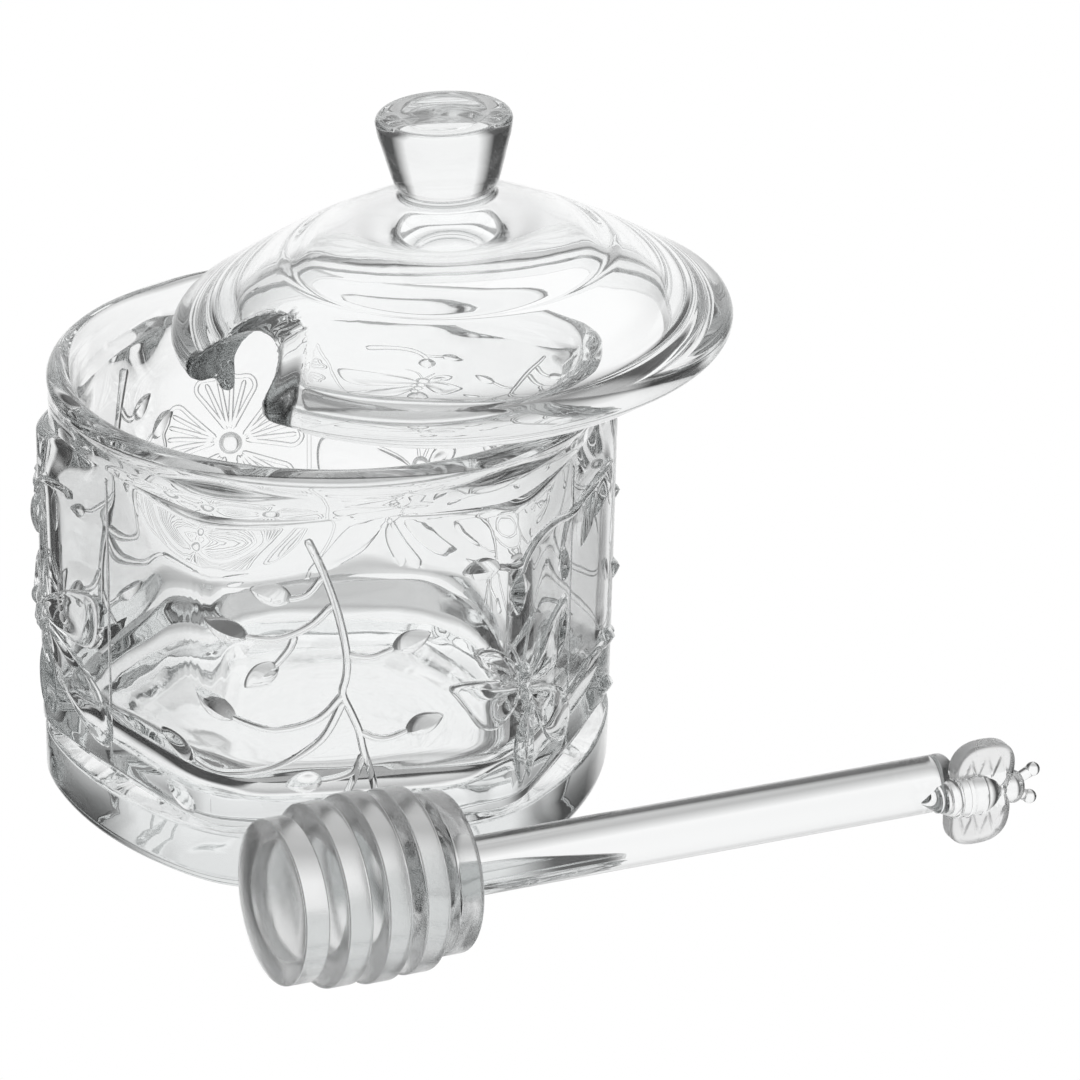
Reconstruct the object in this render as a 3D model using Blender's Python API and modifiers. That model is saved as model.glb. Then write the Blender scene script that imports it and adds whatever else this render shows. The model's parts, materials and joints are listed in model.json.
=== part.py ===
"""Glass honey pot: a six-sided pot with pressed relief, a domed lid left askew on its rim,
and the glass dipper that lies in front of it. Metres, +Z up, origin under the pot's middle."""

import math

import bmesh
import bpy
from mathutils import Matrix, Vector

MM = 0.001
TOUCH_GAP = 0.3 * MM

# Pot: outside radii are given at the middle of a panel and at a corner.
POT_HEIGHT = 82.0 * MM
POT_SIDES = 6
POT_SEGMENTS = 48
PANEL_TURN = 10.6
CORNER_SHARPNESS = 20
BAND_RADII = (51.3 * MM, 52.8 * MM)
BAND_TOP = 12.0 * MM
HEEL_ROUND = 3.5 * MM
GROOVE_RADII = (47.5 * MM, 52.2 * MM)
GROOVE_HEIGHT = 12.8 * MM
PANEL_RADII = (47.8 * MM, 53.2 * MM)
PANEL_FOOT = 14.0 * MM
PANEL_HEAD = 71.2 * MM
COLLAR_RADII = (48.2 * MM, 50.9 * MM)
COLLAR_FOOT = 73.0 * MM
LIP_MIDDLE = 48.8 * MM
LIP_ROUND = 2.2 * MM
INNER_HEAD = (74.0 * MM, 43.9 * MM)
INNER_FOOT_RADIUS = 42.8 * MM
INNER_CORNER_RISE = 5.0 * MM
INNER_CORNER_FROM = 60.0 * MM
FLOOR_HEIGHT = 9.0 * MM
FLOOR_ROUND = (29.0 * MM, 17.0 * MM)

# Relief: places on the wall are (angle in degrees from -Y towards +X, height in mm).
RELIEF_TURNS = (0.0, 120.0, 240.0)
STEM_RADIUS = 0.8 * MM
STEM_SPACING = 6.5
ANTENNA_RADIUS = 0.5 * MM
LEAF_WIDTH = 4.6 * MM
LEAF_RISE = 1.4 * MM
WING_RISE = 1.3 * MM
PETAL_RISE = 1.0 * MM
PETAL_WIDTH = 6.2 * MM
BLOSSOM_PLACE = (206.0, 46.0)
BLOSSOM_MIDDLE = 2.3 * MM
BLOSSOM_REACH = 14.8
BLOSSOM_PETALS = 5
MM_PER_DEGREE = math.radians(1.0) * 50.5

# Lid: its own origin is the middle of the brim's underside.
LID_MIDDLE = (22.0 * MM, 5.3 * MM)
LID_TILT_RIGHT_UP = 3.0
LID_TILT_BACK_UP = 0.7
LID_STEPS = 38
BRIM_RADIUS = 51.0 * MM
LID_LIP_RADIUS = 42.9 * MM
LID_LIP_ROUND = 1.6 * MM
LID_LIP_DEPTH = 3.4 * MM
KNOB_RADIUS = 12.3 * MM
KNOB_TOP = 42.4 * MM
NECK_RADIUS = 8.8 * MM
NOTCH_HEADING = -52.0
NOTCH_WIDTH = 22.0 * MM
NOTCH_HEIGHT = 11.0 * MM
NOTCH_DEPTH = 24.0 * MM

# Dipper: its own origin is the middle disc's centre, its +Z runs down the rod to the bee.
DIPPER_PLACE = (9.5 * MM, -76.8 * MM)
DIPPER_HEIGHT = 16.76 * MM
DIPPER_YAW = 27.5
DIPPER_DROP = 2.72
DIPPER_STEPS = 22
DISC_RADII = (14.5 * MM, 16.1 * MM, 16.6 * MM, 16.3 * MM, 14.4 * MM)
DISC_SPACING = 7.2 * MM
DISC_HALF = 2.35 * MM
DISC_CORE = 9.5 * MM
ROD_RADIUS = 5.25 * MM
ROD_END = 117.5 * MM

# Bee: it lies beside the rod's end, and its stations are counted from the tip of its tail.
BEE_OFFSET = 5.0 * MM
BEE_LOW = 0.6 * MM
BEE_TAIL = 109.2 * MM
BEE_STEPS = 12
BEE_HEAD_AT = 19.8 * MM
WING_MIDDLE = (4.6 * MM, 12.8 * MM)
WING_HALF = (5.6 * MM, 6.4 * MM)
WING_BLUNTNESS = 0.8
WING_WAIST_TURN = 141.4
WING_STEPS = 12
WING_OFFSET = 4.7 * MM
WING_THICKNESS = 3.4 * MM


def clear_scene():
    """Start from an empty scene."""
    for scene_object in list(bpy.data.objects):
        bpy.data.objects.remove(scene_object, do_unlink=True)


def new_collection(name):
    """A collection in the scene."""
    collection = bpy.data.collections.new(name)
    bpy.context.scene.collection.children.link(collection)
    return collection


def glass(name, tint, roughness):
    """Clear pressed glass."""
    material = bpy.data.materials.new(name)
    material.use_nodes = True
    shader = material.node_tree.nodes["Principled BSDF"]
    shader.inputs["Base Color"].default_value = (*tint, 1.0)
    shader.inputs["Roughness"].default_value = roughness
    shader.inputs["Metallic"].default_value = 0.0
    shader.inputs["IOR"].default_value = 1.5
    shader.inputs["Transmission Weight"].default_value = 1.0
    return material


def link_mesh(name, mesh, collection, material=None):
    """An object for a mesh, in a collection."""
    placed = bpy.data.objects.new(name, mesh)
    collection.objects.link(placed)
    if material:
        mesh.materials.append(material)
    return placed


def mesh_from_bmesh(name, shape):
    """Turn a bmesh into mesh data with its faces pointing outward."""
    bmesh.ops.recalc_face_normals(shape, faces=shape.faces)
    mesh = bpy.data.meshes.new(name)
    shape.to_mesh(mesh)
    shape.free()
    return mesh


def apply_modifiers(placed):
    """Keep the mesh that the modifiers make, and drop the modifiers."""
    graph = bpy.context.evaluated_depsgraph_get()
    mesh = bpy.data.meshes.new_from_object(placed.evaluated_get(graph))
    placed.modifiers.clear()
    placed.data = mesh


def fuse(placed, pieces):
    """Join a collection of pieces to an object as one solid, and remove the pieces."""
    union = placed.modifiers.new("fuse", "BOOLEAN")
    union.operation = "UNION"
    union.operand_type = "COLLECTION"
    union.collection = pieces
    union.solver = "EXACT"
    apply_modifiers(placed)
    for piece in list(pieces.objects):
        bpy.data.objects.remove(piece, do_unlink=True)
    bpy.data.collections.remove(pieces)


def turned(name, outline, steps, collection, material):
    """Turn an outline of (radius, height) points about the Z axis."""
    mesh = bpy.data.meshes.new(name)
    points = [(radius, 0.0, height) for radius, height in outline]
    edges = [(index, index + 1) for index in range(len(points) - 1)]
    mesh.from_pydata(points, edges, [])
    placed = link_mesh(name, mesh, collection, material)
    screw = placed.modifiers.new("turn", "SCREW")
    screw.axis = "Z"
    screw.steps = steps
    screw.render_steps = steps
    screw.use_merge_vertices = True
    screw.merge_threshold = 0.00001
    return placed


def arc(middle, radius, start, end, steps):
    """Points on an arc in (radius, height), with angles in degrees from the outward side."""
    points = []
    for step in range(steps + 1):
        turn = math.radians(start + (end - start) * step / steps)
        points.append((middle[0] + radius * math.cos(turn), middle[1] + radius * math.sin(turn)))
    return points


def curve_as_mesh(name, curve, collection):
    """The welded mesh that a curve makes."""
    placed = bpy.data.objects.new(name, curve)
    collection.objects.link(placed)
    graph = bpy.context.evaluated_depsgraph_get()
    shape = bmesh.new()
    shape.from_mesh(bpy.data.meshes.new_from_object(placed.evaluated_get(graph)))
    bmesh.ops.remove_doubles(shape, verts=shape.verts, dist=0.000001)
    bpy.data.objects.remove(placed, do_unlink=True)
    return link_mesh(name, mesh_from_bmesh(name, shape), collection)


def tube(name, places, radius, pieces):
    """A closed round bar through a list of points."""
    curve = bpy.data.curves.new(name, "CURVE")
    curve.dimensions = "3D"
    curve.bevel_depth = radius
    curve.bevel_resolution = 0
    curve.use_fill_caps = True
    line = curve.splines.new("POLY")
    line.points.add(len(places) - 1)
    for point, place in zip(line.points, places):
        point.co = (*place, 1.0)
    return curve_as_mesh(name, curve, pieces)


def flat_plate(name, outline, thickness, collection):
    """A closed plate with half its thickness on each side of an outline of (x, y) points."""
    curve = bpy.data.curves.new(name, "CURVE")
    curve.dimensions = "2D"
    curve.fill_mode = "BOTH"
    curve.extrude = thickness / 2
    line = curve.splines.new("POLY")
    line.points.add(len(outline) - 1)
    for point, place in zip(line.points, outline):
        point.co = (*place, 0.0, 1.0)
    line.use_cyclic_u = True
    return curve_as_mesh(name, curve, collection)


def ball(name, middle, radii, pieces, turn=None, segments=8, rings=6):
    """An oval lump: a sphere stretched to three radii, turned and moved."""
    shape = bmesh.new()
    bmesh.ops.create_uvsphere(shape, u_segments=segments, v_segments=rings, radius=1.0)
    placing = Matrix.Translation(middle) @ (turn or Matrix()) @ Matrix.Diagonal((*radii, 1.0))
    bmesh.ops.transform(shape, matrix=placing, verts=shape.verts)
    return link_mesh(name, mesh_from_bmesh(name, shape), pieces)


def direction(angle):
    """The level direction at an angle in degrees from -Y towards +X."""
    return Vector((math.sin(math.radians(angle)), -math.cos(math.radians(angle)), 0.0))


def corner_share(angle):
    """0 at the middle of a panel and 1 at a corner, with the corners rounded."""
    step = 360.0 / POT_SIDES
    turns = [math.radians(angle - PANEL_TURN - step * side) for side in range(POT_SIDES)]
    reach = sum(max(0.0, math.cos(turn)) ** CORNER_SHARPNESS for turn in turns)
    half_step = math.radians(step / 2)
    full_reach = 2.0 * math.cos(half_step) ** CORNER_SHARPNESS
    power = -1.0 / CORNER_SHARPNESS
    return (reach ** power - 1.0) / (full_reach ** power - 1.0)


def wall_point(angle, height, lift=0.0, radii=PANEL_RADII):
    """A point on the pot, at a height in metres, lifted off it along the level direction."""
    radius = radii[0] + (radii[1] - radii[0]) * corner_share(angle)
    return direction(angle) * (radius + lift) + Vector((0.0, 0.0, height))


def pot_levels():
    """Height and radii of each ring: up the outside, over the lip and down the inside."""
    levels = []
    for inset, height in arc((HEEL_ROUND, HEEL_ROUND), HEEL_ROUND, 270.0, 180.0, 3):
        levels.append((height, BAND_RADII[0] - inset, BAND_RADII[1] - inset))
    levels.append((BAND_TOP - 0.6 * MM, *BAND_RADII))
    levels.append((BAND_TOP, BAND_RADII[0] - 0.6 * MM, BAND_RADII[1] - 0.4 * MM))
    levels.append((GROOVE_HEIGHT, *GROOVE_RADII))
    levels.append((PANEL_FOOT, *PANEL_RADII))
    levels.append((PANEL_HEAD, *PANEL_RADII))
    levels.append((PANEL_HEAD + 0.9 * MM, PANEL_RADII[0], PANEL_RADII[1] - 0.6 * MM))
    levels.append((COLLAR_FOOT, *COLLAR_RADII))
    lip_height = POT_HEIGHT - LIP_ROUND
    levels.append((lip_height - 3.0 * MM, LIP_MIDDLE + 0.6 * MM, LIP_MIDDLE + LIP_ROUND))
    for radius, height in arc((LIP_MIDDLE, lip_height), LIP_ROUND, 0.0, 180.0, 6):
        levels.append((height, radius, radius))
    levels.append((INNER_HEAD[0], INNER_HEAD[1], INNER_HEAD[1]))
    shoulder = (INNER_HEAD[0] + INNER_CORNER_FROM) / 2
    levels.append((shoulder, INNER_HEAD[1], INNER_HEAD[1] + INNER_CORNER_RISE / 2))
    levels.append((INNER_CORNER_FROM, INNER_HEAD[1], INNER_HEAD[1] + INNER_CORNER_RISE))
    for across, rise in arc((0.0, 0.0), 1.0, 0.0, -90.0, 6):
        radius = INNER_FOOT_RADIUS - FLOOR_ROUND[0] * (1.0 - across)
        height = FLOOR_HEIGHT + FLOOR_ROUND[1] * (1.0 + rise)
        levels.append((height, radius, radius + INNER_CORNER_RISE * across))
    return levels


def pot_shell(collection, material):
    """The pot without its relief: a loft between rings that change from six-sided to round."""
    shape = bmesh.new()
    rings = []
    for height, mid_radius, corner_radius in pot_levels():
        ring = []
        for segment in range(POT_SEGMENTS):
            angle = PANEL_TURN + 360.0 * segment / POT_SEGMENTS
            ring.append(shape.verts.new(wall_point(angle, height, 0.0, (mid_radius, corner_radius))))
        rings.append(ring)
    for lower, upper in zip(rings, rings[1:]):
        for segment in range(POT_SEGMENTS):
            following = (segment + 1) % POT_SEGMENTS
            shape.faces.new((lower[segment], lower[following], upper[following], upper[segment]))
    shape.faces.new(rings[0])
    shape.faces.new(rings[-1])
    return link_mesh("pot", mesh_from_bmesh("pot", shape), collection, material)


def smooth_path(points):
    """Even places on a smooth line through (angle, height) places."""
    ends = [points[0]] + list(points) + [points[-1]]
    path = []
    for before, start, end, after in zip(ends, ends[1:], ends[2:], ends[3:]):
        sideways = (end[0] - start[0]) * MM_PER_DEGREE
        steps = max(1, round(math.hypot(sideways, end[1] - start[1]) / STEM_SPACING))
        for step in range(steps):
            share = step / steps
            place = []
            for axis in range(2):
                bend = end[axis] - before[axis], after[axis] - start[axis]
                place.append(hermite(start[axis], end[axis], bend[0] / 2, bend[1] / 2, share))
            path.append(tuple(place))
    return path + [tuple(points[-1])]


def hermite(start, end, start_slope, end_slope, share):
    """A smooth value between two, from their slopes."""
    rise = share * share * (3.0 - 2.0 * share)
    leave = share * (1.0 - share) ** 2
    arrive = share * share * (share - 1.0)
    return start + (end - start) * rise + start_slope * leave + end_slope * arrive


def shifted(places, turn):
    """The same places, turned round the pot."""
    return [(angle + turn, height) for angle, height in places]


def stem(name, places, pieces, radius=STEM_RADIUS):
    """A raised stem on the wall."""
    points = [wall_point(angle, height * MM, 0.1 * MM) for angle, height in smooth_path(places)]
    return tube(name, points, radius, pieces)


def leaf(name, base, tip, pieces, width=LEAF_WIDTH, rise=LEAF_RISE):
    """A raised oval leaf, wing or petal on the wall, from its base to its tip."""
    span = wall_point(tip[0], tip[1] * MM) - wall_point(base[0], base[1] * MM)
    angle = (base[0] + tip[0]) / 2
    middle = wall_point(angle, (base[1] + tip[1]) / 2 * MM)
    ahead = span.normalized()
    across = ahead.cross(direction(angle)).normalized()
    outward = across.cross(ahead)
    turn = Matrix((across, ahead, outward)).transposed().to_4x4()
    radii = (width / 2, span.length / 2, rise)
    return ball(name, middle - outward * 0.15 * MM, radii, pieces, turn, segments=6, rings=4)


def hanging_sprig(name, turn, pieces):
    """The tall sprig on a panel: a main stem, its root, and side stems that end in leaves."""
    main = [(-1.5, 69.0), (1.9, 62.2), (4.8, 54.5), (6.6, 46.9), (5.8, 39.0), (9.3, 31.5),
            (12.0, 22.6), (13.5, 16.6)]
    stem(name + "_main", shifted(main, turn), pieces)
    stem(name + "_root", shifted([(10.2, 26.6), (8.6, 22.6), (5.7, 17.2)], turn), pieces)
    branches = [
        ([(1.6, 61.8), (-4.4, 57.5)], (-12.6, 60.3)),
        ([(3.6, 56.3), (-4.0, 50.9), (-12.6, 50.6)], (-21.3, 54.0)),
        ([(-4.0, 51.0), (-7.2, 45.6)], (-13.6, 40.9)),
        ([(5.9, 38.8), (-4.0, 32.6), (-15.0, 34.8)], (-23.5, 40.0)),
        ([(6.0, 37.6), (-6.0, 26.2), (-22.6, 25.0)], (-34.0, 28.2)),
        ([(6.7, 46.6), (16.0, 46.8)], (24.4, 49.9)),
        ([(9.6, 31.4), (19.0, 30.5)], (27.1, 33.7)),
        ([(10.2, 26.8), (1.9, 22.1)], (-6.1, 21.4)),
    ]
    for index, (places, tip) in enumerate(branches):
        stem(f"{name}_branch_{index}", shifted(places, turn), pieces)
        leaf(f"{name}_leaf_{index}", *shifted([places[-1], tip], turn), pieces)
    leaf(name + "_leaf_low", *shifted([(-23.3, 15.6), (-32.5, 18.4)], turn), pieces)


def arched_sprig(name, turn, pieces, long_arch):
    """The spray that arches over a corner, with its leaves hanging from it."""
    main = [(91.0, 63.4), (79.0, 62.2), (65.9, 61.6), (55.7, 63.5), (47.8, 63.8), (41.7, 59.0)]
    leaves = [((41.8, 59.6), (41.5, 50.8)), ((37.4, 61.8), (29.8, 60.8)), ((61.5, 57.4), (63.6, 49.0))]
    if long_arch:
        leaves += [((80.0, 62.4), (74.0, 51.8)), ((91.0, 63.4), (82.2, 54.8))]
    else:
        main = main[2:]
    stem(name + "_main", shifted(main, turn), pieces)
    stem(name + "_side", shifted([(42.4, 60.9), (36.4, 61.6)], turn), pieces)
    stem(name + "_twig", shifted([(65.9, 61.6), (61.5, 56.4)], turn), pieces)
    for index, places in enumerate(leaves):
        leaf(f"{name}_leaf_{index}", *shifted(places, turn), pieces)


def butterfly(name, turn, pieces):
    """A butterfly on a corner: beaded body, antennae, two pairs of wings and two tails."""
    beads = [(42.8, 39.4, 2.2), (43.5, 36.5, 1.55), (44.4, 33.9, 1.5), (45.6, 31.2, 1.5)]
    for index, (angle, height, size) in enumerate(beads):
        middle = wall_point(angle + turn, height * MM, 0.1 * MM)
        ball(f"{name}_bead_{index}", middle, [size * MM] * 3, pieces, segments=6, rings=4)
    wings = [
        ((41.4, 39.2), (32.8, 45.2), 4.4),
        ((41.9, 36.8), (28.2, 36.6), 7.6),
        ((45.0, 37.8), (66.0, 43.4), 8.0),
        ((46.4, 34.0), (68.0, 19.0), 8.6),
        ((44.4, 31.6), (41.4, 16.6), 5.5),
        ((45.6, 30.6), (48.2, 16.6), 4.5),
    ]
    for index, (root, tip, width) in enumerate(wings):
        leaf(f"{name}_wing_{index}", *shifted([root, tip], turn), pieces, width * MM, WING_RISE)
    feelers = [(43.3, 41.2), (44.4, 46.0), (47.4, 49.4)], [(42.2, 41.2), (39.2, 46.4)]
    for index, places in enumerate(feelers):
        stem(f"{name}_antenna_{index}", shifted(places, turn), pieces, ANTENNA_RADIUS)


def blossom(name, pieces):
    """The open flower on the far side: a round middle, and petals of two raised halves."""
    angle, height = BLOSSOM_PLACE
    ball(name + "_middle", wall_point(angle, height * MM), [BLOSSOM_MIDDLE] * 3, pieces)
    for half in range(2 * BLOSSOM_PETALS):
        heading = math.radians(180.0 * (half // 2 * 2 + 0.1) / BLOSSOM_PETALS + (half % 2 * 2 - 1) * 14.0)
        ends = []
        for reach in (0.12 * BLOSSOM_REACH, BLOSSOM_REACH):
            sideways = reach * math.sin(heading) / MM_PER_DEGREE
            ends.append((angle + sideways, height + reach * math.cos(heading)))
        leaf(f"{name}_petal_{half}", *ends, pieces, PETAL_WIDTH, PETAL_RISE)


def build_pot(collection):
    """The pot, one piece of pressed glass with its relief."""
    pot = pot_shell(collection, glass("pot_glass", (0.93, 0.95, 0.95), 0.03))
    pieces = new_collection("pot relief")
    for index, turn in enumerate(RELIEF_TURNS):
        hanging_sprig(f"sprig_{index}", turn, pieces)
        arched_sprig(f"arch_{index}", turn, pieces, index == 0)
        butterfly(f"butterfly_{index}", turn, pieces)
    blossom("blossom", pieces)
    fuse(pot, pieces)
    return pot


def lid_outline():
    """The lid's section: down the outside from the knob, round the brim, up the inside."""
    outline = [(0.0, KNOB_TOP - 1.2 * MM), (6.5 * MM, KNOB_TOP - 1.2 * MM), (7.8 * MM, KNOB_TOP)]
    outline += arc((KNOB_RADIUS - 1.4 * MM, KNOB_TOP - 1.4 * MM), 1.4 * MM, 90.0, -10.0, 3)
    outline += [
        (9.4 * MM, 29.4 * MM), (NECK_RADIUS, 28.4 * MM), (NECK_RADIUS + 0.2 * MM, 27.0 * MM),
        (11.0 * MM, 26.3 * MM), (19.0 * MM, 23.0 * MM), (29.0 * MM, 18.1 * MM),
        (39.0 * MM, 12.2 * MM), (45.0 * MM, 8.2 * MM),
    ]
    outline += arc((BRIM_RADIUS - 3.0 * MM, 3.0 * MM), 3.0 * MM, 55.0, -90.0, 5)
    outline.append((LID_LIP_RADIUS + LID_LIP_ROUND, 0.0))
    lip_middle = (LID_LIP_RADIUS, LID_LIP_ROUND - LID_LIP_DEPTH)
    outline += arc(lip_middle, LID_LIP_ROUND, 0.0, -180.0, 4)
    outline += [
        (41.4 * MM, 3.4 * MM), (38.0 * MM, 7.5 * MM), (29.0 * MM, 13.2 * MM),
        (19.0 * MM, 17.7 * MM), (9.0 * MM, 20.0 * MM), (0.0, 20.5 * MM),
    ]
    return outline


def notch_cutter(cutters):
    """An arch on edge that runs out through the brim, for the dipper's rod."""
    half = NOTCH_WIDTH / 2
    below = LID_LIP_DEPTH + 2.0 * MM
    shoulder = NOTCH_HEIGHT - half * 0.75
    outline = [(-half, -below), (half, -below)]
    for step in range(9):
        turn = math.pi * step / 8
        outline.append((half * math.cos(turn), shoulder + half * 0.75 * math.sin(turn)))
    cutter = flat_plate("notch", outline, NOTCH_DEPTH, cutters)
    standing = Matrix.Rotation(math.radians(90.0), 4, "X")
    outward = Matrix.Translation((0.0, -(BRIM_RADIUS + 6.0 * MM - NOTCH_DEPTH / 2), 0.0))
    heading = Matrix.Rotation(math.radians(NOTCH_HEADING), 4, "Z")
    cutter.data.transform(heading @ outward @ standing)
    cutter.hide_render = True
    cutter.display_type = "WIRE"
    return cutter


def build_lid(collection, cutters):
    """The lid, turned about its own axis, cut for the rod and left askew on the rim."""
    material = glass("lid_glass", (0.93, 0.95, 0.95), 0.03)
    lid = turned("lid", lid_outline(), LID_STEPS, collection, material)
    cut = lid.modifiers.new("notch", "BOOLEAN")
    cut.operation = "DIFFERENCE"
    cut.solver = "EXACT"
    cut.object = notch_cutter(cutters)
    cut.object.parent = lid
    lid.location = (*LID_MIDDLE, POT_HEIGHT + LID_LIP_DEPTH + TOUCH_GAP)
    lid.rotation_euler = (math.radians(LID_TILT_BACK_UP), -math.radians(LID_TILT_RIGHT_UP), 0.0)
    return lid


def dipper_outline():
    """The dipper's section: the rod's end, the rod, the ribbed head and its domed front."""
    outline = [(0.0, ROD_END), (ROD_RADIUS - 0.8 * MM, ROD_END), (ROD_RADIUS, ROD_END - 0.8 * MM)]
    middle_disc = len(DISC_RADII) // 2
    rear = (middle_disc * DISC_SPACING) + DISC_HALF
    outline += [(ROD_RADIUS, rear + 4.0 * MM), (ROD_RADIUS + 0.8 * MM, rear + 2.6 * MM)]
    for index in reversed(range(len(DISC_RADII))):
        station = (index - middle_disc) * DISC_SPACING
        radius = DISC_RADII[index]
        for across, along in ((-0.4, 1.0), (0.0, 0.8), (0.0, -0.8), (-0.4, -1.0)):
            outline.append((radius + across * MM, station + along * DISC_HALF))
        if index:
            valley = station - DISC_SPACING / 2
            outline += [(DISC_CORE, valley + 0.5 * MM), (DISC_CORE, valley - 0.5 * MM)]
    front = -middle_disc * DISC_SPACING
    outline += [(9.0 * MM, front - 3.1 * MM), (4.5 * MM, front - 3.9 * MM), (0.0, front - 4.2 * MM)]
    return outline


def bee_wings(pieces):
    """Both wings as one thick plate: blunt ovals that meet in a waist."""
    half = []
    for step in range(WING_STEPS + 1):
        turn = math.radians(WING_WAIST_TURN * (2.0 * step / WING_STEPS - 1.0))
        across = math.copysign(abs(math.cos(turn)) ** WING_BLUNTNESS, math.cos(turn))
        along = math.copysign(abs(math.sin(turn)) ** WING_BLUNTNESS, math.sin(turn))
        half.append((WING_MIDDLE[0] + WING_HALF[0] * across, WING_MIDDLE[1] + WING_HALF[1] * along))
    outline = half + [(-across, along) for across, along in reversed(half[1:-1])]
    wings = flat_plate("bee_wings", outline, WING_THICKNESS, pieces)
    standing = Matrix.Rotation(math.radians(90.0), 4, "X")
    wings.data.transform(Matrix.Translation((BEE_LOW, -WING_OFFSET, BEE_TAIL)) @ standing)


def bee(pieces):
    """The bee at the rod's end: a pointed body, an oval head, two stout feelers and its wings."""
    outline = [(0.0, 18.2), (1.2, 18.2), (1.5, 16.6), (3.0, 14.6), (3.9, 12.2), (4.05, 9.4), (3.85, 7.0),
               (2.35, 3.4), (0.0, 0.0)]
    outline = [(radius * MM, BEE_TAIL + along * MM) for radius, along in outline]
    body = turned("bee_body", outline, BEE_STEPS, pieces, None)
    apply_modifiers(body)
    body.data.transform(Matrix.Translation((BEE_LOW, -BEE_OFFSET, 0.0)))
    head = Vector((BEE_LOW, -BEE_OFFSET, BEE_TAIL + BEE_HEAD_AT))
    ball("bee_head", head, (3.2 * MM, 2.8 * MM, 2.1 * MM), pieces, segments=10)
    for side in (-1.0, 1.0):
        root = head + Vector((side * 1.4, 0.0, 1.2)) * MM
        tip = head + Vector((side * 3.1, 0.0, 4.2)) * MM
        tube(f"bee_feeler_{side:+.0f}", [root, tip], 1.1 * MM, pieces)
        ball(f"bee_feeler_tip_{side:+.0f}", tip, [1.4 * MM] * 3, pieces)
    bee_wings(pieces)


def build_dipper(collection):
    """The honey dipper, one piece of glass, lying on its head and on the bee's wing."""
    material = glass("dipper_glass", (0.9, 0.92, 0.92), 0.05)
    dipper = turned("dipper", dipper_outline(), DIPPER_STEPS, collection, material)
    apply_modifiers(dipper)
    pieces = new_collection("bee")
    bee(pieces)
    fuse(dipper, pieces)
    dipper.location = (*DIPPER_PLACE, DIPPER_HEIGHT)
    dipper.rotation_euler = (0.0, math.radians(90.0 + DIPPER_DROP), math.radians(DIPPER_YAW))
    return dipper


def build():
    """Everything, in a collection named for the object."""
    clear_scene()
    collection = new_collection("honey pot")
    cutters = new_collection("cutters")
    build_pot(collection)
    build_lid(collection, cutters)
    build_dipper(collection)


build()
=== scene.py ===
"""The looks of a glass honey pot: the six-sided pot with its pressed relief, the domed lid left askew
on the rim, and the glass dipper lying in front, on a pale floor under a soft white studio light."""

import json
import math

import bmesh
import bpy
from mathutils import Matrix, Vector, noise

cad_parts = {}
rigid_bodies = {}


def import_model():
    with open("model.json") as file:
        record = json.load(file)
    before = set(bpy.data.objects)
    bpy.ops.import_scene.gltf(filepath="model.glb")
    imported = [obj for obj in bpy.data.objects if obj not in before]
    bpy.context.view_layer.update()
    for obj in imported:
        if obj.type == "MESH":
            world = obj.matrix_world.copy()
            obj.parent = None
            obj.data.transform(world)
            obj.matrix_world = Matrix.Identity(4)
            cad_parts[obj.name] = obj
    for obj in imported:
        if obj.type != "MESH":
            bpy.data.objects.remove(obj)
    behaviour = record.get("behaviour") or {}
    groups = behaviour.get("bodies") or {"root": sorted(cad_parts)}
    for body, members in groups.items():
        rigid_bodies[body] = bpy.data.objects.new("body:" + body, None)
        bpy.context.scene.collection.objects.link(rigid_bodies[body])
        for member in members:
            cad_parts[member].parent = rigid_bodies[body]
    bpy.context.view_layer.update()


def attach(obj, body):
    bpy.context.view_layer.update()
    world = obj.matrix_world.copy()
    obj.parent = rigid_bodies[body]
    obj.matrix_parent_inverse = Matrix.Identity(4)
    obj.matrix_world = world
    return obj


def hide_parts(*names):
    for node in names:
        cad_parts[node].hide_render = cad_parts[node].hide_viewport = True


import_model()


# The pot is one piece of clear pressed glass: six panels with rounded corners between a foot band
# and a round collar, a fire-polished lip and a thick floor. Sizes are in millimetres, and radii are
# given at the middle of a panel and at a corner.
MM = 0.001
POT_HEIGHT = 82.0
POT_SIDES = 6
POT_COLUMNS = 216
PANEL_TURN = 10.6
CORNER_SHARPNESS = 20
BAND_RADII = (51.3, 52.8)
BAND_TOP = 12.0
BAND_EDGE = 0.8
HEEL_ROUND = 3.5
GROOVE_RADII = (47.0, 51.7)
GROOVE_HEIGHT = 12.7
PANEL_RADII = (47.8, 53.18)
PANEL_FOOT = 14.0
PANEL_HEAD = 71.0
PANEL_ROWS = 26
SHELF_RISE = 1.5
COLLAR_RADII = (48.2, 50.9)
COLLAR_FOOT = 73.2
LIP_MIDDLE = 48.8
LIP_ROUND = 2.2
LIP_INSIDE = (45.3, 76.5)
INNER_HEAD = (43.9, 74.0)
INNER_FOOT_RADIUS = 42.8
INNER_ROWS = 38
INNER_CORNER_RISE = 5.0
INNER_CORNER_FROM = 60.0
FLOOR_HEIGHT = 9.0
FLOOR_ROUND = (29.0, 17.0)
WALL_WAVE = 0.12
WALL_WAVE_LENGTH = 15.0
RIPPLE = 0.09
RIPPLE_LENGTH = 5.5
RIPPLE_TOP = 34.0
RIPPLE_FADE = 12.0


def arc(middle, radius, start, end, steps):
    """Points (radius, height) on an arc, with angles in degrees from the outward side."""
    points = []
    for step in range(steps + 1):
        turn = math.radians(start + (end - start) * step / steps)
        points.append((middle[0] + radius * math.cos(turn), middle[1] + radius * math.sin(turn)))
    return points


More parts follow.
